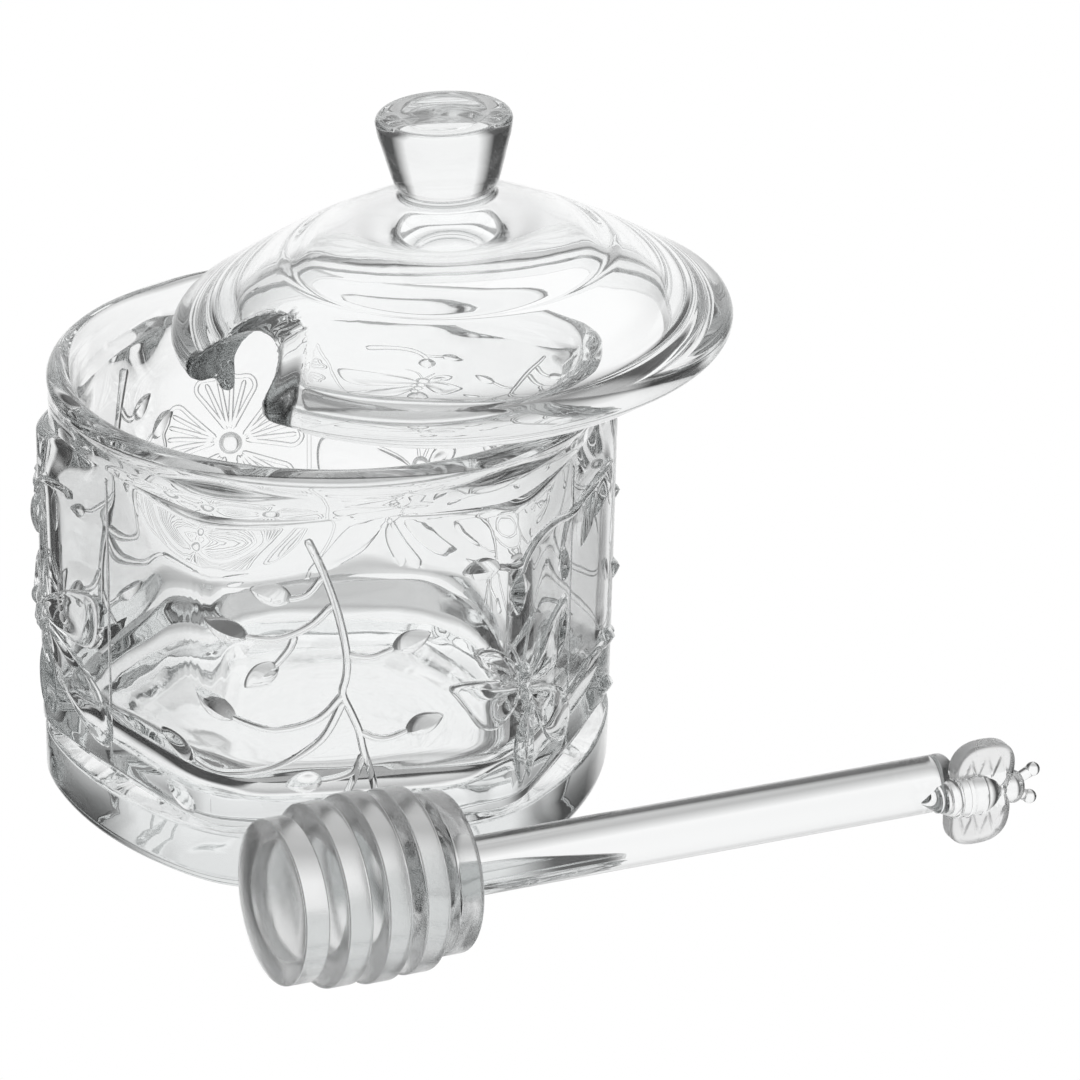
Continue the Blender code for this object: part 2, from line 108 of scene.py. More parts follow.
def corner_share(angle):
    """0 at the middle of a panel and 1 at a corner, with the corners rounded."""
    step = 360.0 / POT_SIDES
    turns = [math.radians(angle - PANEL_TURN - step * side) for side in range(POT_SIDES)]
    reach = sum(max(0.0, math.cos(turn)) ** CORNER_SHARPNESS for turn in turns)
    full_reach = 2.0 * math.cos(math.radians(step / 2)) ** CORNER_SHARPNESS
    power = -1.0 / CORNER_SHARPNESS
    return (reach ** power - 1.0) / (full_reach ** power - 1.0)


def wall_point(angle, height, lift=0.0, radii=PANEL_RADII):
    """A point on the pot, at an angle in degrees from -Y towards +X and a height and lift in mm."""
    radius = radii[0] + (radii[1] - radii[0]) * corner_share(angle) + lift
    turn = math.radians(angle)
    return Vector((math.sin(turn) * radius, -math.cos(turn) * radius, height)) * MM


def pot_levels():
    """(height, radii, is inside) of each ring: up the outside, over the lip, down the inside."""
    levels = []
    for inset, height in arc((HEEL_ROUND, HEEL_ROUND), HEEL_ROUND, 270.0, 180.0, 8):
        levels.append((height, (BAND_RADII[0] - inset, BAND_RADII[1] - inset), False))
    levels.append((8.0, BAND_RADII, False))
    for inset, height in arc((BAND_EDGE, BAND_TOP - BAND_EDGE), BAND_EDGE, 180.0, 100.0, 4):
        levels.append((height, (BAND_RADII[0] - inset, BAND_RADII[1] - inset), False))
    levels.append((GROOVE_HEIGHT - 0.3, (GROOVE_RADII[0] + 0.3, GROOVE_RADII[1] + 0.1), False))
    levels.append((GROOVE_HEIGHT, GROOVE_RADII, False))
    levels.append((PANEL_FOOT - 0.5, (PANEL_RADII[0] - 0.05, PANEL_RADII[1] - 0.3), False))
    for row in range(PANEL_ROWS + 1):
        height = PANEL_FOOT + (PANEL_HEAD - PANEL_FOOT) * row / PANEL_ROWS
        levels.append((height, PANEL_RADII, False))
    shelf = PANEL_RADII[1] - COLLAR_RADII[1]
    for share in (0.25, 0.5, 0.75, 1.0):
        drop = 1.0 - math.cos(share * math.pi / 2)
        height = PANEL_HEAD + SHELF_RISE * math.sin(share * math.pi / 2)
        levels.append((height, (PANEL_RADII[0] + 0.1 * share, PANEL_RADII[1] - shelf * drop), False))
    levels.append((COLLAR_FOOT, COLLAR_RADII, False))
    lip_height = POT_HEIGHT - LIP_ROUND
    for share in (0.33, 0.66):
        height = COLLAR_FOOT + (lip_height - 2.0 - COLLAR_FOOT) * share
        levels.append((height, (COLLAR_RADII[0] + 1.2 * share * share, COLLAR_RADII[1]), False))
    for radius, height in arc((LIP_MIDDLE, lip_height), LIP_ROUND, -25.0, 195.0, 18):
        levels.append((height, (radius, radius), radius < LIP_MIDDLE))
    for radius, height in (LIP_INSIDE, INNER_HEAD):
        levels.append((height, (radius, radius), True))
    foot = FLOOR_HEIGHT + FLOOR_ROUND[1]
    for row in range(1, INNER_ROWS):
        share = row / INNER_ROWS
        height = INNER_HEAD[1] + (foot - INNER_HEAD[1]) * share
        radius = INNER_HEAD[0] + (INNER_FOOT_RADIUS - INNER_HEAD[0]) * share ** 1.5
        corner = min(1.0, (INNER_HEAD[1] - height) / (INNER_HEAD[1] - INNER_CORNER_FROM))
        corner = radius + INNER_CORNER_RISE * corner * corner * (3.0 - 2.0 * corner)
        levels.append((height, (radius, corner), True))
    middle = INNER_FOOT_RADIUS - FLOOR_ROUND[0]
    for across, rise in arc((0.0, 0.0), 1.0, 0.0, -90.0, 44):
        radius = middle + FLOOR_ROUND[0] * across
        levels.append((foot + FLOOR_ROUND[1] * rise, (radius, radius + INNER_CORNER_RISE * across), True))
    for share in (0.88, 0.76, 0.64, 0.52, 0.4, 0.28, 0.16):
        levels.append((FLOOR_HEIGHT, (middle * share, middle * share), True))
    return levels


def loft(name, rings):
    """A skin through rings of points with equal counts, closed at both ends."""
    shape = bmesh.new()
    rows = [[shape.verts.new(point) for point in ring] for ring in rings]
    for lower, upper in zip(rows, rows[1:]):
        for index in range(len(lower)):
            following = (index + 1) % len(lower)
            shape.faces.new((lower[index], lower[following], upper[following], upper[index]))
    for row in (rows[0], rows[-1]):
        middle = shape.verts.new(sum((vert.co for vert in row), Vector()) / len(row))
        for index in range(len(row)):
            shape.faces.new((row[index], row[(index + 1) % len(row)], middle))
    return finished_mesh(name, shape)


def finished_mesh(name, shape):
    """Mesh data from a bmesh, welded, with its faces pointing outward."""
    bmesh.ops.remove_doubles(shape, verts=shape.verts, dist=0.000002)
    bmesh.ops.dissolve_degenerate(shape, edges=shape.edges, dist=0.000002)
    bmesh.ops.recalc_face_normals(shape, faces=shape.faces)
    mesh = bpy.data.meshes.new(name)
    shape.to_mesh(mesh)
    shape.free()
    return mesh


def new_piece(name, mesh, collection=None):
    """An object for a mesh."""
    piece = bpy.data.objects.new(name, mesh)
    (collection or bpy.context.scene.collection).objects.link(piece)
    return piece


def pot_rings():
    """The points of the pot's rings, with the waves and ripples that the plunger leaves inside."""
    rings = []
    for height, radii, inside in pot_levels():
        ring = []
        for column in range(POT_COLUMNS):
            angle = PANEL_TURN + 360.0 * column / POT_COLUMNS
            point = wall_point(angle, height, 0.0, radii)
            if inside and height < INNER_HEAD[1]:
                drift = noise.noise(point / (WALL_WAVE_LENGTH * MM))
                ripple = math.sin(math.tau * (radii[0] + height) / RIPPLE_LENGTH + 5.0 * drift)
                ripple *= RIPPLE * min(1.0, max(0.0, (RIPPLE_TOP - height) / RIPPLE_FADE))
                wave = (drift * WALL_WAVE + ripple) * MM
                away = Vector((point.x, point.y, 0.0)).normalized()
                share = min(1.0, max(0.0, (FLOOR_HEIGHT + FLOOR_ROUND[1] - height) / FLOOR_ROUND[1]))
                point += away * wave * (1.0 - share) + Vector((0.0, 0.0, wave * share))
            ring.append(point)
        rings.append(ring)
    return rings


pot = new_piece("pressed_pot", loft("pressed_pot", pot_rings()))


# The relief is pressed into the outside of the pot with it: hanging sprigs of slim stems and keeled
# leaves, an arching spray over every second corner with a butterfly under it, and one open flower on
# the far side. Places are (angle in degrees, height in mm).
RELIEF_TURNS = (0.0, 120.0, 240.0)
STEM_RADIUS = 0.78
STEM_SIDES = 12
STEM_SPACING = 0.9
STEM_TIP = 0.6
STEM_RAISE = 1.15
ANTENNA_RADIUS = 0.42
ARCH_RADIUS = 0.95
LEAF_WIDTH = 4.8
LEAF_RISE = 1.5
LEAF_ROWS = 16
LEAF_COLUMNS = 6
WING_RISE = 0.35
WING_CELL_RISE = 0.8
WING_RIM_RISE = 0.45
WING_RIM_PLACE = 0.88
WING_RIM_SPREAD = 0.08
TAIL_RISE = 1.1
RELIEF_ROOT = 0.35
RELIEF_DEPTH = 1.7
BEAD_SINK = 0.2
BLOSSOM_PLACE = (206.0, 46.0)
BLOSSOM_REACH = 14.0
BLOSSOM_PETALS = 5
BLOSSOM_MIDDLE = 2.3
SEAM_TURNS = (-52.0, 68.0, 188.0)
SEAM_RADIUS = 0.70
SEAM_SINK = 0.60
PETAL_RIB = 0.55
PETAL_SINK = 0.15
MM_PER_DEGREE = math.radians(1.0) * 50.5
POT_CREASE = 38.0
GLASS_INDEX = 1.5
GLASS_TINT = (0.985, 0.99, 0.99)
GLASS_BODY = (0.86, 0.87, 0.87, 1.0)
GLASS_DEPTH = 15.0
relief = bpy.data.collections.new("relief")
bpy.context.scene.collection.children.link(relief)


def shifted(places, turn):
    """The same places, turned round the pot."""
    return [(angle + turn, height) for angle, height in places]


def smooth_value(before, start, end, after, share):
    """A value on the smooth line that passes through start and end."""
    rise = share * share * (3.0 - 2.0 * share)
    leave = share * (1.0 - share) ** 2
    arrive = share * share * (share - 1.0)
    slopes = (end - before) / 2 * leave + (after - start) / 2 * arrive
    return start + (end - start) * rise + slopes


def smooth_path(points, spacing):
    """Even places along a smooth line through the given ones."""
    ends = [points[0]] + list(points) + [points[-1]]
    path = []
    for before, start, end, after in zip(ends, ends[1:], ends[2:], ends[3:]):
        span = math.hypot((end[0] - start[0]) * MM_PER_DEGREE, end[1] - start[1])
        steps = max(1, round(span / spacing))
        for step in range(steps):
            share = step / steps
            place = [smooth_value(*values, share) for values in zip(before, start, end, after)]
            path.append(tuple(place))
    return path + [tuple(points[-1])]


def wall_axes(angle, height):
    """The wall's sideways and outward directions at a place."""
    sideways = (wall_point(angle + 0.6, height) - wall_point(angle - 0.6, height)).normalized()
    return sideways, sideways.cross(Vector((0.0, 0.0, 1.0)))


def stem(name, places, radius=STEM_RADIUS, taper=0.75, sink=0.0):
    """A raised stem, thinner towards its tip."""
    path = smooth_path(places, STEM_SPACING)
    rings = []
    for index, (angle, height) in enumerate(path):
        middle = wall_point(angle, height, -sink)
        before = wall_point(*path[max(0, index - 1)], -sink)
        after = wall_point(*path[min(len(path) - 1, index + 1)], -sink)
        outward = wall_axes(angle, height)[1]
        across = (after - before).normalized().cross(outward).normalized()
        thick = radius * MM * (1.0 + (taper - 1.0) * index / (len(path) - 1))
        if index in (0, len(path) - 1):
            thick *= STEM_TIP
        ring = []
        for side in range(STEM_SIDES):
            turn = math.tau * side / STEM_SIDES
            raised = outward * thick * math.sin(turn) * STEM_RAISE
            ring.append(middle + across * thick * math.cos(turn) + raised)
        rings.append(ring)
    return new_piece(name, loft(name, rings), relief)


def patch(name, grid):
    """A raised patch of the wall from a grid of (angle, height, lift), closed inside the glass."""
    shape = bmesh.new()
    top = [[shape.verts.new(wall_point(*spot)) for spot in row] for row in grid]
    low = [[shape.verts.new(wall_point(spot[0], spot[1], -RELIEF_DEPTH)) for spot in row] for row in grid]
    last_row = len(grid) - 1
    last_spot = len(grid[0]) - 1
    for skin in (top, low):
        for row in range(last_row):
            for spot in range(last_spot):
                shape.faces.new((skin[row][spot], skin[row][spot + 1],
                                 skin[row + 1][spot + 1], skin[row + 1][spot]))
    border = [(0, spot) for spot in range(last_spot)] + [(row, last_spot) for row in range(last_row)]
    border += [(last_row, spot) for spot in range(last_spot, 0, -1)]
    border += [(row, 0) for row in range(last_row, 0, -1)]
    for here, there in zip(border, border[1:] + border[:1]):
        shape.faces.new((top[here[0]][here[1]], top[there[0]][there[1]],
                         low[there[0]][there[1]], low[here[0]][here[1]]))
    return new_piece(name, finished_mesh(name, shape), relief)


def leaf(name, base, tip, width=LEAF_WIDTH, rise=LEAF_RISE):
    """A keeled leaf: two sloping halves that meet in a ridge from its base to its tip."""
    along = ((tip[0] - base[0]) * MM_PER_DEGREE, tip[1] - base[1])
    length = math.hypot(*along)
    across = (-along[1] / length, along[0] / length)
    grid = []
    for row in range(LEAF_ROWS + 1):
        share = row / LEAF_ROWS
        fullness = math.sin(math.pi * share ** 0.85)
        half_width = width / 2 * max(fullness, 0.0) ** 0.75
        spots = []
        for column in range(-LEAF_COLUMNS, LEAF_COLUMNS + 1):
            offset = column / LEAF_COLUMNS
            slope = 0.6 * (1.0 - abs(offset)) + 0.4 * math.sqrt(1.0 - offset * offset)
            lift = (rise + RELIEF_ROOT) * max(fullness, 0.0) ** 0.5 * slope - RELIEF_ROOT
            sideways = along[0] * share + across[0] * half_width * offset
            upward = along[1] * share + across[1] * half_width * offset
            spots.append((base[0] + sideways / MM_PER_DEGREE, base[1] + upward, lift))
        grid.append(spots)
    return patch(name, grid)


def wing(name, root, outline, cells):
    """A wing: a raised rim, and puffed cells between veins that fan out from the root."""
    edge = smooth_path(outline, STEM_SPACING)
    shares = [0.0, 0.08, 0.18, 0.3, 0.42, 0.54, 0.66, 0.76, 0.84, 0.88, 0.92, 0.96, 1.0]
    grid = []
    for share in shares:
        rim = math.exp(-((share - WING_RIM_PLACE) / WING_RIM_SPREAD) ** 2) * WING_RIM_RISE
        puff = math.sin(math.pi * min(1.0, share / 0.86))
        fan = min(1.0, share / 0.6) ** 2
        spots = []
        for index, (angle, height) in enumerate(edge):
            vein = math.sin(math.pi * cells * index / (len(edge) - 1)) ** 2
            lift = WING_RISE + rim + WING_CELL_RISE * puff * (1.0 - fan * (1.0 - vein))
            inner_edge = min(1.0, min(index, len(edge) - 1 - index) / 3)
            inner_edge = 1.0 - (1.0 - inner_edge) * min(1.0, share / 0.3)
            lift = (lift + RELIEF_ROOT) * math.sqrt(inner_edge) - RELIEF_ROOT
            if share == 1.0:
                lift = -RELIEF_ROOT
            place = (root[0] + (angle - root[0]) * share, root[1] + (height - root[1]) * share)
            spots.append((*place, lift))
        grid.append(spots)
    return patch(name, grid)


def bead(name, place, radius):
    """A round bead on the wall."""
    shape = bmesh.new()
    bmesh.ops.create_uvsphere(shape, u_segments=20, v_segments=14, radius=radius * MM)
    bmesh.ops.translate(shape, verts=shape.verts, vec=wall_point(*place, -BEAD_SINK))
    return new_piece(name, finished_mesh(name, shape), relief)


def hanging_sprig(name, turn):
    """The tall sprig on a panel: a main stem, its roots, and side stems that end in leaves."""
    main = [(-1.5, 69.0), (1.9, 62.2), (4.8, 54.5), (6.6, 46.9), (6.6, 42.5), (5.8, 39.0), (7.5, 35.3),
            (9.3, 31.5), (10.2, 27.8), (12.0, 22.6), (13.5, 16.6)]
    stem(name + "_main", shifted(main, turn), STEM_RADIUS, 0.9)
    stem(name + "_root", shifted([(10.2, 26.6), (8.6, 22.6), (5.7, 17.2)], turn))
    branches = [
        ([(1.6, 61.8), (-0.6, 59.1), (-2.6, 58.1), (-5.4, 57.8)], (-4.4, 57.5), (-12.6, 60.3)),
        ([(3.6, 56.3), (-0.9, 52.5), (-7.4, 50.3), (-13.4, 51.0)], (-12.6, 50.6), (-21.3, 54.0)),
        ([(-4.0, 51.0), (-4.8, 48.5), (-7.9, 44.9)], (-7.2, 45.6), (-13.6, 40.9)),
        ([(5.9, 38.8), (0.6, 34.2), (-8.2, 32.6), (-15.8, 35.5)], (-15.0, 34.8), (-23.5, 40.0)),
        ([(6.0, 37.6), (1.4, 30.2), (-7.5, 25.4), (-17.2, 24.4), (-23.4, 25.8)],
         (-22.6, 25.0), (-34.0, 28.2)),
        ([(6.7, 46.6), (9.0, 46.0), (12.2, 45.8), (16.6, 47.2)], (16.0, 46.8), (24.4, 49.9)),
        ([(9.6, 31.4), (12.3, 30.0), (15.5, 29.7), (19.6, 31.0)], (19.0, 30.5), (27.1, 33.7)),
        ([(10.2, 26.8), (8.6, 23.8), (5.6, 22.6), (1.2, 22.0)], (1.9, 22.1), (-6.1, 21.4)),
    ]
    for index, (places, base, tip) in enumerate(branches):
        stem(f"{name}_branch_{index}", shifted(places, turn))
        leaf(f"{name}_leaf_{index}", *shifted([base, tip], turn))
    leaf(name + "_leaf_low", *shifted([(-23.3, 15.4), (-32.5, 18.2)], turn))


def arched_sprig(name, turn, long_arch):
    """The spray that arches over a corner, with its leaves hanging from it."""
    main = [(91.0, 63.4), (82.5, 62.4), (74.2, 62.0), (65.9, 61.6), (55.7, 63.5), (47.8, 63.8),
            (43.7, 62.2), (41.7, 59.0)]
    if not long_arch:
        main = main[4:]
    stem(name + "_main", shifted(main, turn), ARCH_RADIUS, 0.8)
    leaf(name + "_leaf_0", *shifted([(41.8, 59.6), (41.5, 50.8)], turn))
    stem(name + "_side", shifted([(42.4, 60.9), (39.3, 61.0), (36.4, 61.6)], turn))
    leaf(name + "_leaf_1", *shifted([(37.4, 61.8), (29.8, 60.8)], turn))
    if long_arch:
        stem(name + "_twig", shifted([(65.9, 61.6), (63.2, 59.9), (61.5, 56.4)], turn))
        leaf(name + "_leaf_2", *shifted([(61.5, 57.4), (63.6, 49.0)], turn))
        leaf(name + "_leaf_3", *shifted([(80.0, 62.4), (74.0, 51.8)], turn))
        leaf(name + "_leaf_4", *shifted([(91.0, 63.4), (82.2, 54.8)], turn))


def butterfly(name, turn):
    """A butterfly on a corner: beaded body, antennae, two pairs of wings and two tails."""
    beads = [(42.8, 39.4, 2.2), (43.5, 36.5, 1.55), (44.4, 33.9, 1.5), (45.6, 31.2, 1.5)]
    for index, (angle, height, radius) in enumerate(beads):
        bead(f"{name}_bead_{index}", (angle + turn, height), radius)
    wings = [
        ((41.8, 38.4), [(41.4, 40.2), (39.1, 43.8), (35.5, 46.1), (32.3, 45.5), (33.9, 42.3),
                        (37.1, 40.5), (40.8, 38.8)], 3),
        ((41.9, 36.8), [(41.2, 38.4), (34.6, 39.9), (27.7, 39.0), (29.2, 36.2), (31.2, 33.5),
                        (33.7, 30.1), (36.6, 29.6), (39.6, 31.9), (42.4, 35.7)], 2),
        ((44.8, 37.6), [(44.6, 39.0), (49.2, 42.4), (57.2, 45.6), (65.4, 46.4), (66.4, 40.0),
                        (63.1, 35.6), (55.1, 34.6), (45.8, 36.2)], 2),
        ((45.6, 34.4), [(45.8, 35.6), (54.9, 32.3), (64.6, 27.4), (69.2, 21.0), (66.0, 16.4),
                        (57.2, 19.5), (51.0, 25.5), (46.6, 32.2)], 1),
    ]
    for index, (root, outline, cells) in enumerate(wings):
        wing(f"{name}_wing_{index}", shifted([root], turn)[0], shifted(outline, turn), cells)
    tails = (((44.2, 31.4), (43.0, 16.4), 5.2), ((45.8, 30.8), (46.6, 16.4), 4.4))
    for index, (root, tip, width) in enumerate(tails):
        leaf(f"{name}_tail_{index}", *shifted([root, tip], turn), width, TAIL_RISE)
    for index, places in enumerate(([(43.3, 41.2), (43.7, 43.8), (44.9, 47.0), (47.4, 49.4)],
                                    [(42.2, 41.2), (41.0, 43.6), (39.2, 46.4)])):
        stem(f"{name}_antenna_{index}", shifted(places, turn), ANTENNA_RADIUS)


def blossom():
    """The open flower on the far side: a round middle, and fan-shaped petals drawn in raised ribs."""
    angle, height = BLOSSOM_PLACE
    bead("blossom_middle", BLOSSOM_PLACE, BLOSSOM_MIDDLE)
    edge = [(-10, 0.22), (-25, 0.70), (-26, 0.92), (-19, 1.03), (-9, 1.0), (0, 1.06), (9, 1.0), (19, 1.03),
            (26, 0.92), (25, 0.70), (10, 0.22)]
    lines = [edge] + [[(spread * 0.6, 0.24), (spread, 0.95)] for spread in (-16, -5.5, 5.5, 16)]
    for petal in range(BLOSSOM_PETALS):
        for index, line in enumerate(lines):
            places = []
            for spread, length in line:
                heading = math.radians(spread + 360.0 * (petal + 0.05) / BLOSSOM_PETALS)
                sideways = BLOSSOM_REACH * length * math.sin(heading) / MM_PER_DEGREE
                places.append((angle + sideways, height + BLOSSOM_REACH * length * math.cos(heading)))
            stem(f"blossom_petal_{petal}_{index}", places, PETAL_RIB, 1.0, PETAL_SINK)


for index, turn in enumerate(RELIEF_TURNS):
    hanging_sprig(f"sprig_{index}", turn)
    arched_sprig(f"arch_{index}", turn, index == 0)
    butterfly(f"butterfly_{index}", turn)
blossom()
for index, angle in enumerate(SEAM_TURNS):
    stem(f"mould_seam_{index}", [(angle, 70.5), (angle, 42.0), (angle, 14.6)], SEAM_RADIUS, 1.0, SEAM_SINK)


def keep_modified(piece):
    """Keep the mesh that a piece's modifiers make."""
    graph = bpy.context.evaluated_depsgraph_get()
    mesh = bpy.data.meshes.new_from_object(piece.evaluated_get(graph))
    piece.modifiers.clear()
    piece.data = mesh


def fuse(piece, additions):
    """Melt a collection of pieces into one, and remove them."""
    union = piece.modifiers.new("fuse", "BOOLEAN")
    union.operation = "UNION"
    union.operand_type = "COLLECTION"
    union.collection = additions
    union.solver = "MANIFOLD"
    keep_modified(piece)
    for addition in list(additions.objects):
        bpy.data.objects.remove(addition, do_unlink=True)
    bpy.data.collections.remove(additions)


def smooth_but_creased(piece, angle):
    """Smooth shading that keeps edges sharper than an angle."""
    piece.data.shade_smooth()
    piece.data.set_sharp_from_angle(angle=math.radians(angle))


fuse(pot, relief)
smooth_but_creased(pot, POT_CREASE)


def clear_glass(name, tint, wave, smear):
    """Clear glass: a faint grey tint, slow surface waves, and a polish that varies a little."""
    material = bpy.data.materials.new(name)
    material.use_nodes = True
    nodes = material.node_tree.nodes
    links = material.node_tree.links
    shader = nodes["Principled BSDF"]
    shader.inputs["Metallic"].default_value = 0.0
    shader.inputs["IOR"].default_value = GLASS_INDEX
    shader.inputs["Transmission Weight"].default_value = 1.0
    place = nodes.new("ShaderNodeTexCoord")
    tone_noise = nodes.new("ShaderNodeTexNoise")
    tone_noise.inputs["Scale"].default_value = 45.0
    tone_noise.inputs["Detail"].default_value = 3.0
    tone = nodes.new("ShaderNodeValToRGB")
    tone.color_ramp.elements[0].color = (*[value * 0.985 for value in tint], 1.0)
    tone.color_ramp.elements[1].color = (*tint, 1.0)
    polish = nodes.new("ShaderNodeMapRange")
    polish.inputs["From Min"].default_value = 0.35
    polish.inputs["From Max"].default_value = 0.75
    polish.inputs["To Min"].default_value = smear[0]
    polish.inputs["To Max"].default_value = smear[1]
    wave_noise = nodes.new("ShaderNodeTexNoise")
    wave_noise.inputs["Scale"].default_value = 130.0
    wave_noise.inputs["Detail"].default_value = 1.5
    bump = nodes.new("ShaderNodeBump")
    bump.inputs["Strength"].default_value = wave
    bump.inputs["Distance"].default_value = 0.0005
    links.new(place.outputs["Object"], tone_noise.inputs["Vector"])
    links.new(place.outputs["Object"], wave_noise.inputs["Vector"])
    links.new(tone_noise.outputs["Fac"], tone.inputs["Fac"])
    links.new(tone.outputs["Color"], shader.inputs["Base Color"])
    links.new(tone_noise.outputs["Fac"], polish.inputs["Value"])
    links.new(polish.outputs["Result"], shader.inputs["Roughness"])
    links.new(wave_noise.outputs["Fac"], bump.inputs["Height"])
    links.new(bump.outputs["Normal"], shader.inputs["Normal"])
    absorb = nodes.new("ShaderNodeVolumeAbsorption")
    absorb.inputs["Color"].default_value = GLASS_BODY
    absorb.inputs["Density"].default_value = GLASS_DEPTH
    links.new(absorb.outputs["Volume"], nodes["Material Output"].inputs["Volume"])
    return material


pot.data.materials.clear()
pot.data.materials.append(clear_glass("pot_pressed_glass", GLASS_TINT, 0.015, (0.0, 0.01)))
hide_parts("pot")
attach(pot, "root")


# The lid is a second pressing: a shallow dome with a turned knob, a thick rolled brim, and a lip
# underneath that keeps it on the pot. The arch in its edge lets the dipper's rod out. Its own origin
# is the middle of the brim's underside.
LID_MIDDLE = (22.0, 5.3)
LID_TILT_RIGHT_UP = 3.0
LID_TILT_BACK_UP = 0.7
BRIM_RADIUS = 50.8
LID_LIP_RADIUS = 42.9
LID_LIP_ROUND = 1.6
LID_LIP_DEPTH = 3.4
KNOB_RADIUS = 12.3
KNOB_TOP = 42.38
KNOB_ROUND = 1.4
BRIM_ROUND = 3.0
LID_CREASE = 42.0
NOTCH_HEADING = -52.0
NOTCH_WIDTH = 22.0
NOTCH_HEIGHT = 11.0
NOTCH_ROUNDING = 1.3
NOTCH_ROUNDS = 10
REST_GAP = 0.3


def spaced_outline(points, spacing):
    """The outline with its long stretches split into short ones."""
    outline = [points[0]]
    for start, end in zip(points, points[1:]):
        steps = max(1, math.ceil(math.dist(start, end) / spacing))
        for step in range(1, steps + 1):
            share = step / steps
            outline.append(tuple(a + (b - a) * share for a, b in zip(start, end)))
    return outline


def smooth_outline(points, spacing):
    """Points on a smooth line through the given ones."""
    ends = [points[0]] + list(points) + [points[-1]]
    outline = []
    for before, start, end, after in zip(ends, ends[1:], ends[2:], ends[3:]):
        steps = max(1, math.ceil(math.dist(start, end) / spacing))
        for step in range(steps):
            share = step / steps
            outline.append(tuple(smooth_value(*values, share) for values in zip(before, start, end, after)))
    return outline + [points[-1]]


def lid_outline():
    """(radius, height) down the outside from the knob's middle, round the brim, up the inside."""
    knob_edge = (KNOB_RADIUS - KNOB_ROUND, KNOB_TOP - KNOB_ROUND)
    outline = smooth_outline([(0.6, KNOB_TOP - 1.3), (4.0, KNOB_TOP - 1.25), (6.6, KNOB_TOP - 0.9),
                              (8.2, KNOB_TOP - 0.1)], 0.7)
    outline += arc(knob_edge, KNOB_ROUND, 84.0, -12.0, 8)
    outline += spaced_outline([(12.0, 39.0), (9.6, 30.0)], 1.5)
    outline += smooth_outline([(9.2, 29.3), (8.7, 28.7), (8.7, 28.0), (9.0, 27.2), (10.2, 26.6),
                               (14.0, 25.3), (19.0, 23.0), (24.0, 20.5), (29.0, 18.0), (34.0, 15.2),
                               (39.0, 12.2), (44.0, 9.0), (47.6, 6.6)], 1.0)
    outline += arc((BRIM_RADIUS - BRIM_ROUND, BRIM_ROUND), BRIM_ROUND, 55.0, -90.0, 12)
    outline += spaced_outline([(46.0, 0.0), (LID_LIP_RADIUS + LID_LIP_ROUND + 0.2, 0.0)], 0.8)
    lip_middle = (LID_LIP_RADIUS, LID_LIP_ROUND - LID_LIP_DEPTH)
    outline += arc(lip_middle, LID_LIP_ROUND, 0.0, -180.0, 10)
    outline += smooth_outline([(41.25, 0.4), (41.1, 3.4), (38.0, 7.5), (34.0, 10.4), (29.0, 13.1),
                               (27.6, 13.6), (24.0, 15.7), (19.0, 17.7), (14.0, 19.2), (7.0, 20.3),
                               (0.6, 20.5)], 1.0)
    return outline


def turned_rings(outline, turns):
    """Rings of points for an outline turned about the Z axis."""
    rings = []
    for radius, height in outline:
        ring = [Vector((math.sin(turn) * radius, -math.cos(turn) * radius, height)) * MM for turn in turns]
        rings.append(ring)
    return rings


def lid_turns():
    """Column angles, close together where the arch is cut."""
    turns = []
    angle = -180.0
    while angle < 180.0 - 0.01:
        turns.append(math.radians(angle + NOTCH_HEADING))
        angle += 0.75 if abs(angle) < 22.5 else 2.25
    return turns


def notch_tool():
    """The arch-shaped prism that the mould's tongue leaves in the edge of the lid."""
    half = NOTCH_WIDTH / 2
    shoulder = NOTCH_HEIGHT - half * 0.75
    arch = [(half, -LID_LIP_DEPTH - 2.0), (half, -LID_LIP_DEPTH + 0.6)]
    for step in range(33):
        turn = math.pi * step / 32
        arch.append((half * math.cos(turn), shoulder + half * 0.75 * math.sin(turn)))
    arch += [(-half, -LID_LIP_DEPTH + 0.6), (-half, -LID_LIP_DEPTH - 2.0)]
    arch = spaced_outline(arch, 0.8)
    heading = Matrix.Rotation(math.radians(NOTCH_HEADING), 4, "Z")
    rings = []
    for step in range(33):
        outward = BRIM_RADIUS + 4.0 - step * 0.8
        rings.append([heading @ (Vector((across, -outward, height)) * MM) for across, height in arch])
    return new_piece("notch_tool", loft("notch_tool", rings))


lid = new_piece("domed_lid", loft("domed_lid", turned_rings(lid_outline(), lid_turns())))
notch = notch_tool()
cut = lid.modifiers.new("notch", "BOOLEAN")
cut.operation = "DIFFERENCE"
cut.object = notch
cut.solver = "EXACT"
keep_modified(lid)
bpy.data.objects.remove(notch, do_unlink=True)


